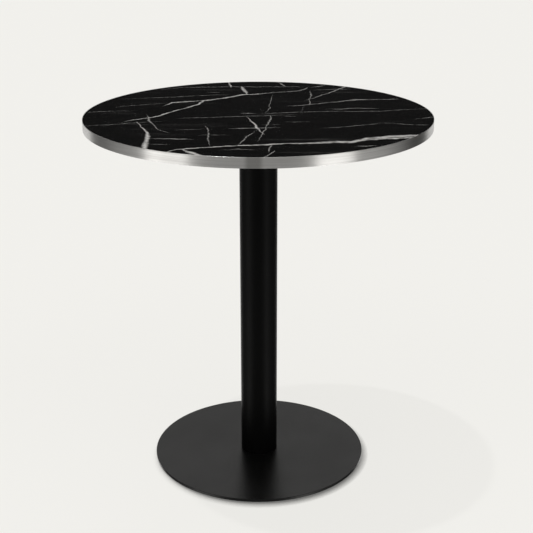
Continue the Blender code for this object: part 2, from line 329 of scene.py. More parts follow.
# %% [markdown]
# ## Fibreboard and backing sheet
# Inside the top is medium-density fibreboard, which looks like pressed felt: short fibres of two browns. The
# sheet under it is a plain dark laminate that keeps the board from bowing, with a dull suede-like surface.

# %% Board and backing
def pressed_fibres():
    finish = Finish("pressed_fibres", Specular_IOR_Level=0.3)
    place = finish.place()
    fibres = finish.noise(finish.stretched(place, (420.0, 420.0, 1600.0)), 1.0, 5.0, 0.7)
    finish.feed(Base_Color=finish.blend_colours(fibres, colour(0.20, 0.12, 0.06), colour(0.47, 0.33, 0.19)))
    finish.feed(Roughness=fibres * 0.15 + 0.78)
    finish.bump(fibres, 0.1 * MM)
    return finish.material


def backing_sheet():
    finish = Finish("backing_sheet", Specular_IOR_Level=0.35)
    place = finish.place()
    suede = finish.noise(place, 700.0, 4.0, 0.65)
    finish.feed(Base_Color=finish.blend_colours(suede, colour(0.010), colour(0.024)))
    finish.feed(Roughness=finish.ease(suede, 0.3, 0.7, 0.52, 0.68))
    finish.bump(suede, 0.04 * MM)
    return finish.material


board_fibres = pressed_fibres()
backing_skin = backing_sheet()
print("board finishes:", board_fibres.name, backing_skin.name)

# %% [markdown]
# ## Marble veins
# The face is a print of black marble. Its white veins are few and each has its own course, so they are drawn
# like pencil strokes and not left to chance: every vein is a route of (x, y, half width) points on the table,
# with a point where it bends or changes width. The places follow one given top. They were first worked out by
# a separate helper and then thinned and adjusted, so they are not free-hand; another top needs its own
# routes. A vein is turned into nodes by measuring how far along and how far beside its straight line a point
# lies. One curve then bends that line, and a second gives the width, so a vein costs eight nodes.

# %% The courses of the veins
BRIGHT_VEINS = {
    "front": [
        (-0.170, -0.325, 0.003), (-0.145, -0.293, 0.004), (-0.100, -0.280, 0.004), (-0.035, -0.264, 0.004),
        (0.010, -0.257, 0.006), (0.055, -0.248, 0.005), (0.105, -0.246, 0.008), (0.135, -0.236, 0.011),
        (0.170, -0.238, 0.010), (0.200, -0.214, 0.012), (0.245, -0.196, 0.012), (0.300, -0.182, 0.010),
        (0.345, -0.170, 0.004),
    ],
    "front right strand": [
        (0.185, -0.232, 0.0), (0.200, -0.224, 0.004), (0.236, -0.211, 0.006), (0.279, -0.203, 0.006),
        (0.320, -0.190, 0.0),
    ],
    "long diagonal": [
        (-0.266, -0.079, 0.0), (-0.243, -0.052, 0.003), (-0.200, -0.020, 0.004), (-0.172, 0.028, 0.004),
        (-0.125, 0.095, 0.0045), (-0.117, 0.134, 0.0045), (-0.072, 0.162, 0.006), (-0.034, 0.198, 0.006),
        (0.000, 0.208, 0.004), (0.030, 0.221, 0.0),
    ],
    "left upright": [
        (-0.238, -0.056, 0.0), (-0.227, -0.104, 0.0015), (-0.213, -0.145, 0.003), (-0.205, -0.180, 0.005),
        (-0.202, -0.225, 0.0065), (-0.201, -0.270, 0.0075), (-0.200, -0.300, 0.008),
    ],
    "centre upright": [
        (-0.024, -0.020, 0.0), (-0.014, -0.062, 0.002), (-0.006, -0.088, 0.003), (-0.003, -0.120, 0.004),
        (0.001, -0.137, 0.0025), (0.013, -0.180, 0.0),
    ],
    "front left flake": [(-0.134, -0.290, 0.0), (-0.118, -0.312, 0.008), (-0.098, -0.338, 0.008)],
    "back flake": [(-0.041, 0.292, 0.0), (-0.039, 0.280, 0.004), (-0.031, 0.240, 0.0075), (-0.024, 0.200, 0.0)],
    "back rim flake": [(-0.071, 0.350, 0.003), (-0.064, 0.292, 0.003), (-0.062, 0.275, 0.0)],
    "diagonal's upper strand": [
        (-0.198, 0.078, 0.0), (-0.188, 0.095, 0.002), (-0.183, 0.114, 0.005), (-0.150, 0.126, 0.006),
        (-0.112, 0.137, 0.0),
    ],
}
GREY_VEINS = {
    "right bar": [
        (0.050, 0.078, 0.0), (0.087, 0.087, 0.0025), (0.126, 0.102, 0.0025), (0.186, 0.134, 0.004),
        (0.202, 0.142, 0.008), (0.230, 0.145, 0.004), (0.290, 0.150, 0.003), (0.302, 0.151, 0.0),
    ],
    "diagonal's right end": [
        (-0.005, 0.205, 0.0), (0.028, 0.220, 0.004), (0.070, 0.234, 0.003), (0.092, 0.244, 0.003),
        (0.106, 0.278, 0.0),
    ],
    "left hook": [
        (-0.225, 0.000, 0.0), (-0.217, -0.028, 0.002), (-0.215, -0.054, 0.003), (-0.205, -0.085, 0.002),
        (-0.190, -0.139, 0.0015), (-0.163, -0.169, 0.0),
    ],
    "second upright": [
        (-0.103, -0.100, 0.0), (-0.094, -0.129, 0.0015), (-0.091, -0.176, 0.002), (-0.092, -0.215, 0.002),
        (-0.086, -0.270, 0.0),
    ],
    "centre branch": [
        (0.000, -0.135, 0.0), (-0.021, -0.196, 0.002), (-0.026, -0.226, 0.002), (-0.038, -0.270, 0.0),
    ],
    "centre crossing": [
        (0.026, -0.005, 0.0), (0.025, -0.045, 0.002), (0.018, -0.096, 0.0015), (0.009, -0.176, 0.002),
        (0.000, -0.236, 0.0),
    ],
    "front twig": [(0.027, -0.246, 0.0), (0.024, -0.270, 0.002), (0.020, -0.300, 0.002), (0.021, -0.315, 0.0)],
    "rim twig": [(0.033, -0.298, 0.0), (0.026, -0.316, 0.002), (0.011, -0.355, 0.002)],
    "broken upright": [
        (0.014, 0.005, 0.0), (0.023, 0.059, 0.002), (0.021, 0.092, 0.001), (0.026, 0.150, 0.001), (0.029, 0.208, 0.0),
    ],
    "back hook": [(0.082, 0.240, 0.0), (0.101, 0.258, 0.004), (0.110, 0.290, 0.0)],
    "back sliver": [(0.112, 0.280, 0.0), (0.132, 0.292, 0.004), (0.156, 0.312, 0.0)],
    "back twig": [(0.041, 0.350, 0.002), (0.055, 0.304, 0.003), (0.059, 0.290, 0.0)],
    "right upright": [
        (0.113, 0.252, 0.0), (0.114, 0.200, 0.0025), (0.108, 0.150, 0.0005), (0.107, 0.105, 0.002),
        (0.107, 0.090, 0.0),
    ],
    "right diagonal": [
        (0.095, 0.130, 0.0), (0.118, 0.162, 0.002), (0.152, 0.214, 0.002), (0.177, 0.263, 0.004),
        (0.195, 0.292, 0.004), (0.201, 0.305, 0.0),
    ],
    "left streak": [(-0.200, -0.211, 0.0), (-0.151, -0.211, 0.004), (-0.115, -0.216, 0.0)],
    "centre streak": [
        (-0.055, -0.130, 0.0), (-0.030, -0.127, 0.004), (-0.002, -0.124, 0.003), (0.045, -0.117, 0.0),
    ],
    "short centre streak": [(-0.036, 0.007, 0.0), (-0.020, 0.007, 0.004), (-0.002, 0.006, 0.0)],
    "right streak": [
        (0.138, 0.050, 0.0), (0.168, 0.045, 0.003), (0.196, 0.057, 0.004), (0.252, 0.056, 0.0),
    ],
    "front right streak": [(0.173, -0.270, 0.0), (0.198, -0.267, 0.004), (0.214, -0.264, 0.0)],
}
FAINT_VEINS = {
    "long centre line": [
        (-0.002, 0.007, 0.0), (0.030, 0.009, 0.004), (0.086, 0.021, 0.004), (0.140, 0.026, 0.003),
        (0.250, 0.028, 0.004), (0.280, 0.040, 0.003), (0.352, 0.054, 0.002),
    ],
    "left centre line": [
        (-0.170, -0.043, 0.0), (-0.117, -0.032, 0.003), (-0.030, -0.021, 0.004), (0.008, -0.015, 0.004),
        (0.080, -0.003, 0.0),
    ],
    "left rim line": [
        (-0.340, -0.107, 0.002), (-0.279, -0.096, 0.003), (-0.237, -0.079, 0.003), (-0.178, -0.062, 0.0),
    ],
    "left back line": [
        (-0.300, 0.062, 0.0), (-0.270, 0.085, 0.003), (-0.230, 0.092, 0.003), (-0.185, 0.112, 0.0),
    ],
    "back line": [
        (-0.300, 0.150, 0.0), (-0.210, 0.167, 0.004), (-0.108, 0.191, 0.004), (-0.060, 0.200, 0.0),
    ],
    "rim line": [
        (-0.230, 0.250, 0.0), (-0.166, 0.280, 0.005), (-0.060, 0.287, 0.005), (0.072, 0.289, 0.005),
        (0.105, 0.290, 0.0),
    ],
    "outer left line": [(-0.350, 0.019, 0.003), (-0.276, 0.031, 0.003), (-0.245, 0.034, 0.0)],
    "short back dash": [(-0.116, 0.223, 0.0), (-0.100, 0.224, 0.005), (-0.084, 0.225, 0.0)],
    "left dash": [(-0.160, -0.140, 0.0), (-0.125, -0.137, 0.003), (-0.092, -0.131, 0.0)],
    "front left dash": [(-0.197, -0.255, 0.0), (-0.176, -0.256, 0.004), (-0.158, -0.257, 0.0)],
    "second dash": [(-0.116, -0.184, 0.0), (-0.082, -0.183, 0.003), (-0.044, -0.183, 0.0)],
    "centre dash": [(0.005, -0.097, 0.0), (0.025, -0.094, 0.003), (0.048, -0.091, 0.0)],
    "right centre dash": [(0.050, -0.073, 0.0), (0.075, -0.071, 0.004), (0.106, -0.069, 0.0)],
    "upper centre dash": [(0.050, -0.019, 0.0), (0.062, -0.019, 0.004), (0.076, -0.019, 0.0)],
    "right line": [
        (0.108, -0.131, 0.0), (0.157, -0.117, 0.003), (0.210, -0.096, 0.003), (0.238, -0.080, 0.004),
        (0.264, -0.081, 0.0),
    ],
    "right dashes": [(0.256, -0.082, 0.0), (0.284, -0.092, 0.005), (0.303, -0.098, 0.0)],
    "right rim dash": [(0.302, -0.098, 0.0), (0.316, -0.098, 0.005), (0.332, -0.099, 0.0)],
    "outer right dash": [(0.308, -0.045, 0.0), (0.335, -0.033, 0.004), (0.354, -0.025, 0.003)],
    "back right dash": [(0.118, 0.251, 0.0), (0.165, 0.258, 0.005), (0.218, 0.264, 0.0)],
    "front smear": [(-0.066, -0.297, 0.0), (-0.034, -0.291, 0.004), (0.004, -0.299, 0.0)],
    "small upright": [(0.096, 0.090, 0.0), (0.092, 0.060, 0.0015), (0.087, 0.030, 0.0)],
}
print("veins drawn:", len(BRIGHT_VEINS) + len(GREY_VEINS) + len(FAINT_VEINS))

# %% [markdown]
# ## From courses to a mask
# The spot is the vector (x, y, 1), so a dot product with three numbers gives a straight rule of x and y in a
# single node. The spot is first nudged by noise, because a real vein is never a clean stroke.

# %% Marble finish
def vein_mask(finish, spot, route, strength):
    """How much vein shows at the spot: strength along its middle, and 0 outside its width."""
    first, last = Vector(route[0][:2]), Vector(route[-1][:2])
    length = (last - first).length
    along = (last - first) / length
    across = Vector((-along.y, along.x))
    widest = max(width for _, _, width in route)
    steps = [(Vector(point[:2]) - first).dot(along) / length for point in route]
    bends = [(Vector(point[:2]) - first).dot(across) / widest for point in route]
    reach = max(abs(bend) for bend in bends) + 1.0
    how_far = finish.dot(spot, (*(along / length), -first.dot(along) / length))
    beside = finish.dot(spot, (*(across / widest), -first.dot(across) / widest))
    bend_points = [(step, 0.5 + 0.5 * bend / reach) for step, bend in zip(steps, bends)]
    bend = finish.maths("MULTIPLY_ADD", finish.curve(how_far, bend_points), 2 * reach, -reach)
    away = abs(beside - bend)
    width_points = [(step, max(point[2] / widest, 0.002)) for step, point in zip(steps, route)]
    width = finish.curve(how_far, width_points)
    return finish.ease(away, 0.0, width, strength, 0.0)


def black_marble():
    finish = Finish("black_marble", Specular_IOR_Level=0.14)
    place = finish.place()
    across, along, _ = split(finish, place)
    slow = finish.noise(place, 14.0, 2.0, 0.5, "Color")
    quick = finish.noise(place, 55.0, 5.0, 0.68, "Color")
    slow_x, slow_y, _ = split(finish, slow)
    quick_x, quick_y, _ = split(finish, quick)
    x = across + (slow_x - 0.5) * 0.006 + (quick_x - 0.5) * 0.0110
    y = along + (slow_y - 0.5) * 0.010 + (quick_y - 0.5) * 0.0140
    spot = finish.node("ShaderNodeCombineXYZ", {}, {0: x, 1: y, 2: 1.0})

    veins = None
    for strength, group in ((1.0, BRIGHT_VEINS), (0.55, GREY_VEINS), (0.24, FAINT_VEINS)):
        for route in group.values():
            mask = vein_mask(finish, spot, route, strength)
            veins = mask if veins is None else finish.maths("MAXIMUM", veins, mask)

    crumble = finish.ease(finish.noise(place, 70.0, 6.0, 0.7), 0.36, 0.56, 0.40, 1.0)
    veins = veins * crumble
    layers = finish.noise(finish.stretched(spot, (3.0, 62.0, 0.0)), 1.0, 2.0, 0.45)
    zones = finish.ease(finish.noise(place, 4.5, 1.0), 0.42, 0.62)
    haze = finish.ease(layers, 0.60, 0.74, 0.0, 0.055) * zones
    shade = finish.clamped(finish.maths("MAXIMUM", veins, haze))

    body = finish.ease(finish.noise(place, 34.0, 5.0, 0.6), 0.3, 0.75)
    ground = finish.blend_colours(body, colour(0.0014, 0.0014, 0.0015), colour(0.0040, 0.0039, 0.0037))
    finish.feed(Base_Color=finish.blend_colours(shade, ground, colour(0.70, 0.69, 0.67)))
    dull = finish.noise(place, 60.0, 2.0)
    finish.feed(Roughness=dull * 0.04 + 0.10)
    finish.bump(finish.noise(place, 1100.0, 2.0), 0.008 * MM)
    return finish.material


marble_face = black_marble()
print("marble nodes:", len(marble_face.node_tree.nodes))

# %% [markdown]
# ## Turned shapes
# Nearly every part of the table was turned, rolled or cut round. A turned part is a half section spun about an
# upright line, and the section runs up and down a closed loop, so the result is a sealed solid. Each corner of
# the section gets a small round, because a real edge catches a thin line of light. A corner may also be given
# a number of sides: its ring is then a hexagon, which makes the socket of a screw without cutting anything.

# %% Turning tools
def rounded(section, radius, steps=4):
    """The section with each corner replaced by a small arc, held by a close point on the straight each side."""
    smooth = []
    count = len(section)
    for index, corner in enumerate(section):
        here = Vector(corner)
        if here.x < 1e-7:
            smooth.append((*here, 0))
            continue
        to_last = Vector(section[index - 1]) - here
        to_next = Vector(section[(index + 1) % count]) - here
        turn = to_last.angle(to_next)
        reach = min(radius / math.tan(turn / 2), to_last.length * 0.4, to_next.length * 0.4)
        size = reach * math.tan(turn / 2)
        to_last.normalize()
        to_next.normalize()
        middle = here + (to_last + to_next).normalized() * (size / math.sin(turn / 2))
        start = here + to_last * reach - middle
        end = here + to_next * reach - middle
        smooth.append((*(here + to_last * reach * 1.2), 0))
        for step in range(steps + 1):
            spoke = start.slerp(end, step / steps) * size
            smooth.append((*(middle + spoke), 0))
        smooth.append((*(here + to_next * reach * 1.2), 0))
    return smooth


def disc_section(radius, low, high, edge):
    """The half section of a round plate from low to high, with its edges rounded."""
    return rounded([(0, high), (radius, high), (radius, low), (0, low)], edge)


def tube_section(outer, wall, low, high, edge):
    """The half section of a tube from low to high, with its edges rounded."""
    return rounded([(outer, high), (outer, low), (outer - wall, low), (outer - wall, high)], edge)


def ring_radius(radius, sides, angle):
    """The distance from the middle to a round ring, or to a ring with flat sides and this corner radius."""
    if not sides:
        return radius
    wedge = math.tau / sides
    return radius * math.cos(wedge / 2) / math.cos(angle % wedge - wedge / 2)


def turned(name, section, segments, start=0.0, end=math.tau):
    """A sealed solid from a closed half section of (radius, height, sides) points, turned about Z."""
    whole = abs(end - start - math.tau) < 1e-9
    shape = bmesh.new()
    rings = []
    for step in range(segments if whole else segments + 1):
        angle = start + (end - start) * step / segments
        ring = []
        for radius, height, sides in section:
            reach = ring_radius(radius, sides, angle)
            ring.append(shape.verts.new((reach * math.cos(angle), reach * math.sin(angle), height)))
        rings.append(ring)
    pairs = list(zip(rings, rings[1:]))
    if whole:
        pairs.append((rings[-1], rings[0]))
    count = len(section)
    for ring, following in pairs:
        for index in range(count):
            after = (index + 1) % count
            if section[index][0] < 1e-7 and section[after][0] < 1e-7:
                continue
            shape.faces.new((ring[index], ring[after], following[after], following[index]))
    if not whole:
        shape.faces.new(rings[0])
        shape.faces.new(reversed(rings[-1]))
    bmesh.ops.remove_doubles(shape, verts=shape.verts, dist=1e-6)
    bmesh.ops.dissolve_degenerate(shape, edges=shape.edges, dist=1e-7)
    return finished_mesh(name, shape)


def plain_mesh(name, shape):
    mesh = bpy.data.meshes.new(name)
    shape.to_mesh(mesh)
    shape.free()
    return mesh


def smoothed(mesh, sharp_degrees):
    """The mesh shaded smooth, except across edges sharper than the angle."""
    mesh.shade_smooth()
    mesh.set_sharp_from_angle(angle=math.radians(sharp_degrees))
    return mesh


def finished_mesh(name, shape, sharp_degrees=30):
    bmesh.ops.recalc_face_normals(shape, faces=shape.faces)
    return smoothed(plain_mesh(name, shape), sharp_degrees)


def piece(name, mesh, material, body, slot, *nodes):
    """A finished piece, at the origin, riding on its body and standing for its nodes of the frame."""
    mesh.materials.clear()
    mesh.materials.append(material)
    made = linked(name, mesh)
    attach(made, body)
    if nodes:
        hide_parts(*nodes)
    print(f"{name}: {len(mesh.polygons)} faces")
    return made


def moved(mesh, x, y, z=0.0):
    mesh.transform(Matrix.Translation((x, y, z)))
    return mesh


SMOOTH = 256
print("turning tools ready")

# %% [markdown]
# ## Holes
# Sheets and plates are drilled after they are cut round. The Boolean modifier does the same: a cutter is
# turned for each hole, the modifier takes it out of the plate, and the result becomes a plain mesh.

# %% Drilling
def drilled(name, mesh, cutters, sharp_degrees=30):
    """The mesh with every cutter mesh taken out of it."""
    plate = linked(name + "_blank", mesh)
    tools = bmesh.new()
    for cutter in cutters:
        tools.from_mesh(cutter)
    tool = linked(name + "_tools", finished_mesh(name + "_tools", tools))
    cut = plate.modifiers.new("drill", "BOOLEAN")
    cut.operation = "DIFFERENCE"
    cut.object = tool
    graph = bpy.context.evaluated_depsgraph_get()
    result = bpy.data.meshes.new_from_object(plate.evaluated_get(graph))
    result.name = name
    bpy.data.objects.remove(plate)
    bpy.data.objects.remove(tool)
    return smoothed(result, sharp_degrees)


def middle_of(node):
    low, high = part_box(node)
    return (low + high) / 2


def numbered(stem, count):
    return [f"{stem}_{number}" for number in range(1, count + 1)]


TOP_SCREWS = numbered("top_screw", 8)
FOOT_SCREWS = numbered("foot_screw", 4)
GLIDES = 4
GLIDE_STUDS = numbered("glide_stud", GLIDES)
GLIDE_PADS = numbered("glide_pad", GLIDES)
print("screws at", [tuple(round(v, 3) for v in middle_of(name)[:2]) for name in TOP_SCREWS[:2]], "...")

# %% [markdown]
# ## The top
# The face sheet, the board, the backing sheet and the band are separate layers, as on the real top. The face
# has only a hairline between it and the band. The band is one long strip: its two ends meet at the front in a
# butt joint, so it is turned through slightly less than a full circle.

# %% Face, board and backing
face_low, face_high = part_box("marble_laminate")
band_low, band_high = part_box("edge_band")
band_outer = band_high.x
BAND_WALL = 1.2 * MM
HAIRLINE = 0.1 * MM
face_radius = band_outer - BAND_WALL - HAIRLINE
SHEET_EDGE = 0.15 * MM
face_section = disc_section(face_radius, face_low.z, face_high.z, SHEET_EDGE)
piece(
    "marble_face", turned("marble_face", face_section, SMOOTH), marble_face,
    TABLE, "marble_laminate", "marble_laminate",
)

backing_low, backing_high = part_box("backing_laminate")
backing_section = disc_section(face_radius, backing_low.z, backing_high.z, SHEET_EDGE)
SCREW_HOLE_RADIUS = 3.3 * MM


def hole_cutters(name, nodes, radius, low, high):
    section = [(0, high, 0), (radius, high, 0), (radius, low, 0), (0, low, 0)]
    places = [middle_of(node) for node in nodes]
    return [moved(turned(name, section, 32), place.x, place.y) for place in places]


backing_cutters = hole_cutters(
    "backing_hole", TOP_SCREWS, SCREW_HOLE_RADIUS, backing_low.z - MM, backing_high.z + MM
)
backing = drilled("backing_sheet", turned("backing_sheet", backing_section, SMOOTH), backing_cutters)
piece("backing_sheet", backing, backing_skin, TABLE, "backing_laminate", "backing_laminate")

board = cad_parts["core_board"]
board.data.materials.clear()
board.data.materials.append(board_fibres)

# %% Edge band
JOINT_GAP = 0.12 * MM
BAND_EDGE = 0.35 * MM
BAND_STEPS = 360
band_section = tube_section(band_outer, BAND_WALL, band_low.z, band_high.z, BAND_EDGE)
joint_half_angle = JOINT_GAP / 2 / band_outer
front = -math.pi / 2
band_start = front + joint_half_angle
band_end = front + math.tau - joint_half_angle
band_mesh = turned("steel_band", band_section, BAND_STEPS, band_start, band_end)
piece("steel_band", band_mesh, steel_band_finish, TABLE, "edge_band", "edge_band")

# %% [markdown]
# ## Column and foot
# The column is a drawn tube with its cut ends eased by the powder coat, and it stands on the foot with no gap
# to be seen. The foot is a laser-cut disc: its edge is barely broken, which leaves the thin dark line that
# shows all round. Underneath it has countersunk holes for the screws and tapped holes for the glides.

# %% Column
column_low, column_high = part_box("column_tube")
foot_low, foot_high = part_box("foot_plate")
hub_low, hub_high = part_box("spider_hub")
column_radius = column_high.x
TUBE_WALL = 2 * MM
COLUMN_EDGE = 0.3 * MM
column_section = tube_section(column_radius, TUBE_WALL, foot_high.z, hub_low.z, COLUMN_EDGE)
column_mesh = turned("column", column_section, 160)
piece("column", column_mesh, column_coat, TABLE, "column_tube", "column_tube")
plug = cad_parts["column_plug"]
plug.data.materials.clear()
plug.data.materials.append(turned_steel)

# %% Foot
foot_radius = foot_high.x
FOOT_EDGE = 0.6 * MM
foot_section = disc_section(foot_radius, foot_low.z, foot_high.z, FOOT_EDGE)
SINK_NECK_RADIUS = 4.3 * MM
SINK_MOUTH_RADIUS = 8.6 * MM
SINK_DEPTH = 4.3 * MM
sink_section = [
    (0, foot_high.z + MM, 0), (SINK_NECK_RADIUS, foot_high.z + MM, 0),
    (SINK_NECK_RADIUS, foot_low.z + SINK_DEPTH, 0), (SINK_MOUTH_RADIUS, foot_low.z, 0),
    (SINK_MOUTH_RADIUS, foot_low.z - MM, 0), (0, foot_low.z - MM, 0),
]
sinks = []
for node in FOOT_SCREWS:
    place = middle_of(node)
    sinks.append(moved(turned("sink", sink_section, 48), place.x, place.y))
TAPPED_DEPTH = 4.8 * MM
sinks += hole_cutters("tapped_hole", GLIDE_STUDS, SINK_NECK_RADIUS, foot_low.z - MM, foot_low.z + TAPPED_DEPTH)
foot_mesh = drilled("foot", turned("foot", foot_section, SMOOTH), sinks)
piece("foot", foot_mesh, foot_coat, TABLE, "foot_plate", "foot_plate")

# %% [markdown]
# ## Spider
# The spider that carries the top is a round hub with four flat bars welded to it. The bars' outer ends have
# rounded corners. Each bar is drawn as an outline, filled, and given its thickness, then drilled for its
# screws, and its top and bottom edges are eased with a small bevel before the holes are made.

# %% Hub and arms
HUB_EDGE = 0.5 * MM
hub_section = disc_section(hub_high.x, hub_low.z, hub_high.z, HUB_EDGE)
piece("spider_hub_disc", turned("spider_hub_disc", hub_section, 128), spider_coat, TABLE, "spider_hub", "spider_hub")

ARM_WIDTH = 32 * MM
ARM_END = 210 * MM
ARM_CORNER = 12 * MM
ARM_EDGE = 0.4 * MM


def arm_outline():
    """The bar's outline along +X: its inner end follows the hub, and its outer corners are round."""
    half = ARM_WIDTH / 2
    hub_radius = hub_high.x
    reach = math.asin(half / hub_radius)
    points = []
    for step in range(13):
        angle = reach - 2 * reach * step / 12
        points.append((hub_radius * math.cos(angle), hub_radius * math.sin(angle)))
    for side, first in ((-1, -90), (1, 0)):
        for step in range(9):
            angle = math.radians(first + 90 * step / 8)
            middle = (ARM_END - ARM_CORNER, side * (half - ARM_CORNER))
            points.append((middle[0] + ARM_CORNER * math.cos(angle), middle[1] + ARM_CORNER * math.sin(angle)))
    return points


def arm_mesh(name, turn):
    shape = bmesh.new()
    corners = [shape.verts.new((x, y, hub_low.z)) for x, y in arm_outline()]
    bottom = shape.faces.new(corners)
    grown = bmesh.ops.extrude_face_region(shape, geom=[bottom])
    lifted = [thing for thing in grown["geom"] if isinstance(thing, bmesh.types.BMVert)]
    bmesh.ops.translate(shape, verts=lifted, vec=(0, 0, hub_high.z - hub_low.z))
    rims = [edge for edge in shape.edges if abs(edge.verts[0].co.z - edge.verts[1].co.z) < 1e-7]
    bmesh.ops.bevel(shape, geom=rims, offset=ARM_EDGE, segments=2, profile=0.5, affect="EDGES")
    bmesh.ops.rotate(shape, verts=shape.verts, cent=(0, 0, 0), matrix=Matrix.Rotation(turn, 3, "Z"))
    return finished_mesh(name, shape)


for number in range(4):
    node = f"spider_arm_{number + 1}"
    middle = middle_of(node)
    turn = math.atan2(middle.y, middle.x)
    arm_screws = TOP_SCREWS[2 * number : 2 * number + 2]
    cutters = hole_cutters("arm_hole", arm_screws, SCREW_HOLE_RADIUS, hub_low.z - MM, hub_high.z + MM)
    bar = drilled(f"spider_bar_{number + 1}", arm_mesh(node, turn), cutters)
    piece(f"spider_bar_{number + 1}", bar, spider_coat, TABLE, "spider_arm", node)

# %% [markdown]
# ## Weld beads
# The hub is welded round the column, and the bars to the hub's rim. A weld bead is a row of small overlapping
# puddles, so along its path it swells and narrows in even ripples. Geometry Nodes make it from a path: the
# path is resampled, and a round section is swept along it, scaled at each point by a wave.

# %% Weld bead tree
def group_tree(name, inputs):
    """A geometry node tree with named inputs: {name: (socket type, default)}."""
    tree = bpy.data.node_groups.new(name, "GeometryNodeTree")
    tree.interface.new_socket("Geometry", in_out="INPUT", socket_type="NodeSocketGeometry")
    for label, (kind, default) in inputs.items():
        socket = tree.interface.new_socket(label, in_out="INPUT", socket_type=kind)
        if default is not None:
            socket.default_value = default
    tree.interface.new_socket("Geometry", in_out="OUTPUT", socket_type="NodeSocketGeometry")
    nodes = Nodes(tree)
    entry = tree.nodes.new("NodeGroupInput")
    wires = {socket.name: Wire(nodes, socket) for socket in entry.outputs if socket.name}
    return tree, nodes, wires


def close_tree(nodes, geometry, material):
    """Ends a tree in Realize Instances and Set Material."""
    real = nodes.node("GeometryNodeRealizeInstances", {}, {"Geometry": geometry})
    done = nodes.node("GeometryNodeSetMaterial", {}, {"Geometry": real, "Material": material})
    exit_node = nodes.tree.nodes.new("NodeGroupOutput")
    nodes.tree.links.new(done.socket, exit_node.inputs[0])


def grown_mesh(name, base, tree, values):
    """The plain mesh that a tree makes from a base object's data, with the inputs given by name."""
    blank = linked(name + "_blank", base)
    modifier = blank.modifiers.new("grow", "NODES")
    modifier.node_group = tree
    for socket in tree.interface.items_tree:
        if socket.in_out == "INPUT" and socket.name in values:
            modifier[socket.identifier] = values[socket.name]
    graph = bpy.context.evaluated_depsgraph_get()
    result = bpy.data.meshes.new_from_object(blank.evaluated_get(graph))
    result.name = name
    bpy.data.objects.remove(blank)
    return result


FLOAT = "NodeSocketFloat"
COUNT = "NodeSocketInt"
MATERIAL = "NodeSocketMaterial"
bead_tree, bead_nodes, bead_in = group_tree(
    "weld_bead",
    {
        "Points": (COUNT, 400), "Ripples": (FLOAT, 60.0), "Bead radius": (FLOAT, 2 * MM),
        "Ripple share": (FLOAT, 0.14), "Material": (MATERIAL, None),
    },
)
path = bead_nodes.node("GeometryNodeMeshToCurve", {}, {"Mesh": bead_in["Geometry"]})
even_path = bead_nodes.node("GeometryNodeResampleCurve", {}, {"Curve": path, "Count": bead_in["Points"]})
share_along = bead_nodes.node("GeometryNodeSplineParameter", {}, {}, "Factor")
ripple = bead_nodes.maths("PINGPONG", share_along * bead_in["Ripples"], 0.5) * 2.0
swell = (ripple * bead_in["Ripple share"] + (1.0 - bead_in["Ripple share"])) * bead_in["Bead radius"]
section_ring = bead_nodes.node(
    "GeometryNodeCurvePrimitiveCircle", {"mode": "RADIUS"}, {"Resolution": 10, "Radius": 1.0}
)
swept_sockets = {"Curve": even_path, "Profile Curve": section_ring, "Scale": swell, "Fill Caps": True}
swept = bead_nodes.node("GeometryNodeCurveToMesh", {}, swept_sockets)
close_tree(bead_nodes, swept, bead_in["Material"])
print("weld bead tree:", len(bead_tree.nodes), "nodes")

# %% Weld beads
def path_mesh(name, points, closed=False):
    shape = bmesh.new()
    corners = [shape.verts.new(point) for point in points]
    for first, second in zip(corners, corners[1:]):
        shape.edges.new((first, second))
    if closed:
        shape.edges.new((corners[-1], corners[0]))
    return plain_mesh(name, shape)


def arc_points(radius, height, first, last, count):
    angles = [first + (last - first) * step / count for step in range(count + 1)]
    return [(radius * math.cos(angle), radius * math.sin(angle), height) for angle in angles]


COLUMN_BEAD = 2.2 * MM
ARM_BEAD = 1.5 * MM
column_path = arc_points(column_radius + 0.6 * MM, hub_low.z - 0.6 * MM, 0, math.tau, 128)[:-1]
column_values = {"Points": 480, "Ripples": 96.0, "Bead radius": COLUMN_BEAD, "Material": spider_coat}
bead = grown_mesh("column_weld", path_mesh("column_weld_path", column_path, True), bead_tree, column_values)
bead.shade_smooth()
piece("column_weld", bead, spider_coat, TABLE, "spider_hub")

arm_beads = bmesh.new()
for number in range(4):
    middle = middle_of(f"spider_arm_{number + 1}")
    turn = math.atan2(middle.y, middle.x)
    reach = math.asin(ARM_WIDTH / 2 / hub_high.x) * 0.92
    arm_path = arc_points(hub_high.x + 0.3 * MM, hub_low.z, turn - reach, turn + reach, 24)
    arm_values = {"Points": 120, "Ripples": 18.0, "Bead radius": ARM_BEAD, "Material": spider_coat}
    bead = grown_mesh("arm_weld", path_mesh("arm_weld_path", arm_path), bead_tree, arm_values)
    arm_beads.from_mesh(bead)
piece("arm_welds", finished_mesh("arm_welds", arm_beads, 60), spider_coat, TABLE, "spider_arm")

# %% [markdown]
# ## Screws, washers and inserts
# The eight top screws, washers and inserts are the same on every hole, and so are the four foot screws. One of
# each is turned, and a second tree sets a copy on every point that it is given. The threads are real helices
# on the shanks: fine rings that climb by one pitch a turn, made by moving the turned surface in and out.

# %% Copies on points
copy_tree, copy_nodes, copy_in = group_tree(
    "copies_on_points", {"Part": ("NodeSocketObject", None), "Material": (MATERIAL, None)}
)
part_geometry = copy_nodes.node("GeometryNodeObjectInfo", {}, {"Object": copy_in["Part"]}, "Geometry")
point_cloud = copy_nodes.node("GeometryNodeMeshToPoints", {}, {"Mesh": copy_in["Geometry"]})
copies = copy_nodes.node(
    "GeometryNodeInstanceOnPoints", {}, {"Points": point_cloud, "Instance": part_geometry}
)
close_tree(copy_nodes, copies, copy_in["Material"])


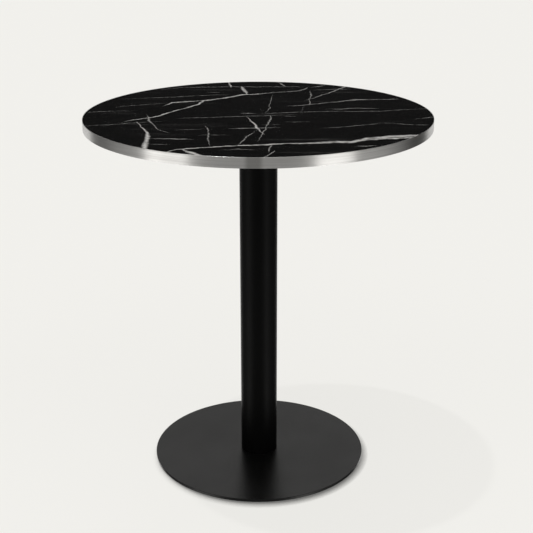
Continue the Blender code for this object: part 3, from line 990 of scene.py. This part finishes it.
def copies_at(name, part, nodes, material, height):
    """One mesh with a copy of the part at the middle of each node, lifted to the given height."""
    pattern = linked(name + "_pattern", part)
    places = [(*middle_of(node)[:2], height) for node in nodes]
    shape = bmesh.new()
    for place in places:
        shape.verts.new(place)
    dots = plain_mesh(name + "_places", shape)
    result = grown_mesh(name, dots, copy_tree, {"Part": pattern, "Material": material})
    bpy.data.objects.remove(pattern)
    return result


print("copy tree:", len(copy_tree.nodes), "nodes")

# %% Threaded shapes
thread_tree, thread_nodes, thread_in = group_tree(
    "cut_thread",
    {
        "Pitch": (FLOAT, MM), "Depth": (FLOAT, 0.3 * MM), "Low": (FLOAT, 0.0), "High": (FLOAT, 0.01),
        "Inner radius": (FLOAT, 0.0), "Outer radius": (FLOAT, 0.004), "Material": (MATERIAL, None),
    },
)
spot_now = thread_nodes.node("GeometryNodeInputPosition")
spot_x, spot_y, spot_z = split(thread_nodes, spot_now)
turn_share = thread_nodes.maths("ARCTAN2", spot_y, spot_x) / math.tau
climb = spot_z / thread_in["Pitch"] - turn_share
ridge_height = thread_nodes.maths("PINGPONG", climb, 0.5) * 2.0
spot_radius = thread_nodes.maths("SQRT", spot_x * spot_x + spot_y * spot_y)
above = thread_nodes.maths("GREATER_THAN", spot_z, thread_in["Low"])
below = thread_nodes.maths("LESS_THAN", spot_z, thread_in["High"])
outside = thread_nodes.maths("GREATER_THAN", spot_radius, thread_in["Inner radius"])
inside = thread_nodes.maths("LESS_THAN", spot_radius, thread_in["Outer radius"])
cut_in = (1.0 - ridge_height) * thread_in["Depth"] * above * below * outside * inside
shrink = 1.0 - cut_in / spot_radius
new_spot = thread_nodes.node("ShaderNodeCombineXYZ", {}, {0: spot_x * shrink, 1: spot_y * shrink, 2: spot_z})
cut_sockets = {"Geometry": thread_in["Geometry"], "Position": new_spot}
cut_surface = thread_nodes.node("GeometryNodeSetPosition", {}, cut_sockets)
close_tree(thread_nodes, cut_surface, thread_in["Material"])


def shank(radius, low, high, pitch):
    """Points down the outside of a shank, close enough together to carry its thread."""
    rows = int((high - low) / pitch * 6)
    return [(radius, high + (low - high) * row / rows, 0) for row in range(rows + 1)]


THREAD_SHARP = 40


def threaded(name, section, segments, pitch, depth, low, high, radius, material):
    values = {
        "Pitch": pitch, "Depth": depth, "Low": low, "High": high,
        "Inner radius": radius * 0.95, "Outer radius": radius * 1.05, "Material": material,
    }
    return smoothed(grown_mesh(name, turned(name + "_blank", section, segments), thread_tree, values), THREAD_SHARP)


print("thread tree:", len(thread_tree.nodes), "nodes")

# %% Top screws
screw_low, screw_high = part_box("top_screw_1")
M6_SHANK = 3.0 * MM
M6_PITCH = 1.0 * MM
M6_THREAD_DEPTH = 0.35 * MM
M6_HEAD_RADIUS = 5.2 * MM
M6_HEAD_HEIGHT = 3.3 * MM
M6_SOCKET_CORNER = 2.3 * MM
M6_SOCKET_DEPTH = 2.0 * MM
length = screw_high.z - screw_low.z
head_arc = []
for step in range(9):
    angle = math.radians(90 * step / 8)
    crown = 3.4 * MM + (M6_HEAD_RADIUS - 3.4 * MM) * math.cos(angle)
    head_arc.append((crown, M6_HEAD_HEIGHT * 0.55 * (1 - math.sin(angle)), 0))
m6_section = [
    (0, length, 0), (M6_SHANK - 0.5 * MM, length, 0),
    *shank(M6_SHANK, M6_HEAD_HEIGHT + 0.3 * MM, length - 0.5 * MM, M6_PITCH),
    (M6_SHANK, M6_HEAD_HEIGHT, 0), (M6_HEAD_RADIUS - 0.2 * MM, M6_HEAD_HEIGHT, 0),
    (M6_HEAD_RADIUS, M6_HEAD_HEIGHT - 0.3 * MM, 0), *head_arc,
    (M6_SOCKET_CORNER + 0.25 * MM, 0, 0), (M6_SOCKET_CORNER, 0.2 * MM, 6),
    (M6_SOCKET_CORNER, M6_SOCKET_DEPTH, 6), (0, M6_SOCKET_DEPTH + 0.3 * MM, 0),
]
m6_screw = threaded(
    "m6_screw", m6_section, 36, M6_PITCH, M6_THREAD_DEPTH,
    M6_HEAD_HEIGHT + 0.5 * MM, length - 0.6 * MM, M6_SHANK, zinc_plate,
)
top_screw_set = copies_at("top_screw_set", m6_screw, TOP_SCREWS, zinc_plate, screw_low.z)
piece("top_screw_set", top_screw_set, zinc_plate, TABLE, "top_screw", *TOP_SCREWS)

# %% Washers and inserts
WASHERS = numbered("washer", 8)
INSERTS = numbered("threaded_insert", 8)
washer_low, washer_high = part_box("washer_1")
washer_radius = (washer_high.x - washer_low.x) / 2
washer_height = washer_high.z - washer_low.z
washer_section = rounded(
    [
        (SCREW_HOLE_RADIUS, washer_height), (washer_radius, washer_height),
        (washer_radius, 0), (SCREW_HOLE_RADIUS, 0),
    ],
    0.25 * MM, 3,
)
washer = turned("washer", washer_section, 40)
washer_set = copies_at("washer_set", washer, WASHERS, zinc_plate, washer_low.z)
piece("washer_set", washer_set, zinc_plate, TABLE, "washer", *WASHERS)

insert_low, insert_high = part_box("threaded_insert_1")
insert_height = insert_high.z - insert_low.z
INSERT_BODY = 4.5 * MM
INSERT_FLANGE = 5.4 * MM
INSERT_PITCH = 2.2 * MM
insert_section = [
    (SCREW_HOLE_RADIUS, insert_height, 0), (INSERT_BODY - 0.4 * MM, insert_height, 0),
    *shank(INSERT_BODY, 1.4 * MM, insert_height - 0.5 * MM, INSERT_PITCH / 2),
    (INSERT_BODY, 1.0 * MM, 0), (INSERT_FLANGE, 1.0 * MM, 0), (INSERT_FLANGE, 0, 0), (SCREW_HOLE_RADIUS, 0, 0),
]
insert = threaded(
    "insert", insert_section, 36, INSERT_PITCH, 0.7 * MM,
    1.5 * MM, insert_height - 0.6 * MM, INSERT_BODY, zinc_plate,
)
insert_set = copies_at("insert_set", insert, INSERTS, zinc_plate, insert_low.z)
piece("insert_set", insert_set, zinc_plate, TABLE, "threaded_insert", *INSERTS)

# %% Foot screws
foot_screw_low, foot_screw_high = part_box("foot_screw_1")
m8_length = foot_screw_high.z - foot_screw_low.z
M8_SHANK = 4.0 * MM
M8_PITCH = 1.25 * MM
M8_HEAD_RADIUS = 7.9 * MM
M8_HEAD_HEIGHT = 4.0 * MM
M8_SOCKET_CORNER = 2.9 * MM
M8_SOCKET_DEPTH = 3.0 * MM
m8_section = [
    (0, m8_length, 0), (M8_SHANK - 0.6 * MM, m8_length, 0),
    *shank(M8_SHANK, M8_HEAD_HEIGHT + 0.6 * MM, m8_length - 0.6 * MM, M8_PITCH),
    (M8_SHANK, M8_HEAD_HEIGHT, 0), (M8_HEAD_RADIUS, 0.25 * MM, 0), (M8_HEAD_RADIUS - 0.25 * MM, 0, 0),
    (M8_SOCKET_CORNER + 0.3 * MM, 0, 0), (M8_SOCKET_CORNER, 0.25 * MM, 6),
    (M8_SOCKET_CORNER, M8_SOCKET_DEPTH, 6), (0, M8_SOCKET_DEPTH + 0.4 * MM, 0),
]
m8_screw = threaded(
    "m8_screw", m8_section, 48, M8_PITCH, 0.45 * MM,
    M8_HEAD_HEIGHT + 0.8 * MM, m8_length - 0.7 * MM, M8_SHANK, black_oxide,
)
foot_screw_set = copies_at("foot_screw_set", m8_screw, FOOT_SCREWS, black_oxide, foot_screw_low.z)
piece("foot_screw_set", foot_screw_set, black_oxide, TABLE, "foot_screw", *FOOT_SCREWS)

# %% [markdown]
# ## Levelling glides
# Each glide is a threaded stud with a nylon pad. The pad's rim has shallow flutes for the fingers, because it
# is turned by hand to level the table. The flutes follow a rule, a wave round the rim, so a third tree presses
# them into the turned pad. The stud and the pad ride on different bodies: the stud travels, the pad also turns.

# %% Fluted rim
flute_tree, flute_nodes, flute_in = group_tree(
    "fluted_rim",
    {
        "Flutes": (FLOAT, 24.0), "Depth": (FLOAT, 0.6 * MM), "Rim radius": (FLOAT, 0.016),
        "Material": (MATERIAL, None),
    },
)
rim_spot = flute_nodes.node("GeometryNodeInputPosition")
rim_x, rim_y, rim_z = split(flute_nodes, rim_spot)
rim_radius = flute_nodes.maths("SQRT", rim_x * rim_x + rim_y * rim_y)
rim_angle = flute_nodes.maths("ARCTAN2", rim_y, rim_x)
wave = flute_nodes.maths("COSINE", rim_angle * flute_in["Flutes"]) * 0.5 + 0.5
near_rim = flute_nodes.ease(rim_radius, flute_in["Rim radius"] * 0.93, flute_in["Rim radius"] * 0.995)
pressed = 1.0 - wave * near_rim * flute_in["Depth"] / (rim_radius + 1e-6)
rim_sockets = {0: rim_x * pressed, 1: rim_y * pressed, 2: rim_z}
pressed_spot = flute_nodes.node("ShaderNodeCombineXYZ", {}, rim_sockets)
pressed_sockets = {"Geometry": flute_in["Geometry"], "Position": pressed_spot}
pressed_pad = flute_nodes.node("GeometryNodeSetPosition", {}, pressed_sockets)
close_tree(flute_nodes, pressed_pad, flute_in["Material"])
print("flute tree:", len(flute_tree.nodes), "nodes")

# %% Pads and studs
pad_low, pad_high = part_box("glide_pad_1")
stud_low, stud_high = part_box("glide_stud_1")
pad_radius = (pad_high.x - pad_low.x) / 2
pad_height = pad_high.z - pad_low.z
stud_radius = (stud_high.x - stud_low.x) / 2
stud_length = stud_high.z - stud_low.z
PAD_SOCKET_RADIUS = 4.3 * MM
pad_floor = stud_low.z - 0.3 * MM
pad_section = rounded(
    [
        (0, pad_floor), (PAD_SOCKET_RADIUS, pad_floor), (PAD_SOCKET_RADIUS, pad_height),
        (7.5 * MM, pad_height), (7.9 * MM, pad_height - 0.5 * MM), (pad_radius - 1.2 * MM, pad_height - 0.5 * MM),
        (pad_radius, pad_height - 1.3 * MM), (pad_radius, 1.0 * MM), (pad_radius - 1.0 * MM, 0), (0, 0),
    ],
    0.3 * MM, 2,
)
flute_values = {"Flutes": 24.0, "Depth": 0.7 * MM, "Rim radius": pad_radius, "Material": moulded_nylon}
stud_section = [
    (0, stud_length, 0), (stud_radius - 0.6 * MM, stud_length, 0),
    *shank(stud_radius, 0.1 * MM, stud_length - 0.5 * MM, M8_PITCH), (stud_radius, 0, 0), (0, 0, 0),
]
for number in range(GLIDES):
    pad_node, stud_node = GLIDE_PADS[number], GLIDE_STUDS[number]
    place = middle_of(pad_node)
    pad_mesh = grown_mesh(f"fluted_pad_{number + 1}", turned("pad", pad_section, 192), flute_tree, flute_values)
    smoothed(pad_mesh, THREAD_SHARP)
    moved(pad_mesh, place.x, place.y, pad_low.z)
    piece(pad_mesh.name, pad_mesh, moulded_nylon, f"glide_{number + 1}_foot", "glide_pad", pad_node)
    stud_mesh = threaded(
        f"threaded_stud_{number + 1}", stud_section, 48, M8_PITCH, 0.45 * MM,
        0.3 * MM, stud_length - 0.6 * MM, stud_radius, zinc_plate,
    )
    moved(stud_mesh, place.x, place.y, stud_low.z)
    piece(stud_mesh.name, stud_mesh, zinc_plate, f"glide_{number + 1}_thread", "glide_stud", stud_node)

# %% [markdown]
# ## Studio
# The table stands on a pale floor that runs into a pale backdrop with no line between them. Real floors do
# that only under even light, so this one mostly glows by itself, and the backdrop does too. A sun-like lamp
# almost overhead lays the top's shadow on the floor, to the right. The thin dark line beside the foot is
# drawn and not cast: a node that senses nearby pieces dims the floor's glow, leaning to one side. The
# surroundings are drawn in the world: a tall light panel on each side of the front, a bright wall behind and
# darker gaps between, because polished and brushed metal only looks like metal when it has light and dark
# things to mirror. Floor and backdrop are kept out of those mirrors, so the world alone decides what the
# metal shows.

# %% World
PALE = (0.8796, 0.8714, 0.8388)


def hump(nodes, value, low, high, soft):
    """1 between low and high, falling to 0 over the soft width on each side."""
    rise = nodes.ease(value, low - soft, low)
    fall = nodes.ease(value, high, high + soft, 1.0, 0.0)
    return rise * fall


world = bpy.data.worlds.new("studio")
bpy.context.scene.world = world
world.use_nodes = True
sky = Nodes(world.node_tree)
heading = sky.node("ShaderNodeTexCoord", {}, {}, "Generated")
sky_x, sky_y, sky_z = split(sky, heading)
bearing = sky.maths("ARCTAN2", sky_x, 0.0 - sky_y) * (180 / math.pi)
rise_angle = sky.maths("ARCSINE", sky_z) * (180 / math.pi)
low_walls = hump(sky, rise_angle, -60.0, 2.0, 4.0)
low_panels = hump(sky, rise_angle, -60.0, -14.0, 12.0)
left_panel = hump(sky, bearing, -75.5, -46.0, 1.5) * low_panels
right_panel = hump(sky, bearing, 38.5, 63.3, 1.5) * low_panels
front_wall = hump(sky, bearing, -47.0, 36.0, 3.0) * low_walls
front_top = hump(sky, bearing, -75.0, 75.0, 10.0) * hump(sky, rise_angle, 34.0, 58.0, 6.0)
side_walls = sky.ease(abs(bearing), 62.0, 68.0) * sky.ease(abs(bearing), 72.0, 126.0, 0.56, 0.04) * low_walls
back_wall = sky.ease(abs(bearing - 2.0), 136.0, 141.0)
back_low = back_wall * hump(sky, rise_angle, -60.0, -4.0, 4.0) * sky.ease(rise_angle, -21.0, -15.0, 1.0, 0.55)
back_high = back_wall * sky.ease(rise_angle, 23.0, 27.0) * sky.ease(rise_angle, 28.0, 50.0, 1.0, 0.3)
ceiling = sky.ease(rise_angle, 55.0, 75.0)
left_fill = hump(sky, bearing, -145.0, -100.0, 10.0) * low_walls
walls = side_walls + front_wall * 0.37 + left_fill * 0.09
panels = left_panel * 2.0 + right_panel * 2.6 + front_top * 1.5 + walls
glow = panels + back_low * 1.3 + back_high * 1.45 + ceiling * 0.9 + 0.02
background = world.node_tree.nodes["Background"]
sky.fill(background.inputs["Strength"], glow)
background.inputs["Color"].default_value = (1.0, 0.99, 0.97, 1.0)
print("world nodes:", len(world.node_tree.nodes))

# %% Floor, backdrop and lamp
FLOOR_SIZE = 24.0
FLOOR_ALBEDO = 0.15
FLOOR_GLOW = 0.85
SHADOW_REACH = 0.016
SHADOW_LEAN = (-0.72, 0.42, 0.55)
SHADOW_POWER = 1.8

floor_finish = Finish("studio_floor", Roughness=1.0, Specular_IOR_Level=0.0)
floor_place = floor_finish.place()
lean = floor_finish.node("ShaderNodeCombineXYZ", {}, dict(enumerate(SHADOW_LEAN)))
near_sockets = {"Distance": SHADOW_REACH, "Normal": lean}
near_object = floor_finish.node("ShaderNodeAmbientOcclusion", {"samples": 8}, near_sockets, "AO")
contact = floor_finish.maths("POWER", near_object, SHADOW_POWER)
floor_finish.feed(Base_Color=(*(FLOOR_ALBEDO * tone / PALE[0] for tone in PALE), 1.0))
floor_finish.feed(Emission_Color=floor_finish.blend_colours(contact, colour(0.0), (*PALE, 1.0)))
floor_finish.feed(Emission_Strength=FLOOR_GLOW)
floor_back = floor_finish.node("ShaderNodeNewGeometry", {}, {}, "Backfacing")
see_through = floor_finish.node("ShaderNodeBsdfTransparent", {}, {}, "BSDF")
floor_top = Wire(floor_finish, floor_finish.shader.outputs["BSDF"])
one_sided = floor_finish.node("ShaderNodeMixShader", {}, {0: floor_back, 1: floor_top, 2: see_through}, "Shader")
floor_output = floor_finish.tree.nodes["Material Output"]
floor_finish.fill(floor_output.inputs["Surface"], one_sided)
floor_shape = bmesh.new()
bmesh.ops.create_grid(floor_shape, x_segments=1, y_segments=1, size=FLOOR_SIZE / 2)
floor_mesh = plain_mesh("floor", floor_shape)
floor_mesh.materials.append(floor_finish.material)
floor = linked("floor", floor_mesh)
floor.visible_glossy = False

backdrop_finish = Finish("backdrop", Roughness=1.0, Specular_IOR_Level=0.0)
backdrop_finish.feed(Base_Color=colour(0.0), Emission_Color=(*PALE, 1.0), Emission_Strength=1.0)
dome_shape = bmesh.new()
bmesh.ops.create_uvsphere(dome_shape, u_segments=48, v_segments=24, radius=FLOOR_SIZE / 2)
bmesh.ops.reverse_faces(dome_shape, faces=dome_shape.faces)
dome_mesh = plain_mesh("backdrop", dome_shape)
dome_mesh.materials.append(backdrop_finish.material)
backdrop = linked("backdrop", dome_mesh)
backdrop.visible_diffuse = False
backdrop.visible_glossy = False
backdrop.visible_transmission = False
backdrop.visible_shadow = False

LAMP_HEADING = Vector((0.164, -0.01, -0.75))
lamp_data = bpy.data.lights.new("overhead_lamp", "SUN")
lamp_data.energy = 0.80
lamp_data.angle = math.radians(1.5)
lamp = linked("overhead_lamp", lamp_data)
lamp.rotation_euler = LAMP_HEADING.to_track_quat("-Z", "Y").to_euler()
bpy.context.scene.view_settings.view_transform = "Standard"
print("stage ready")
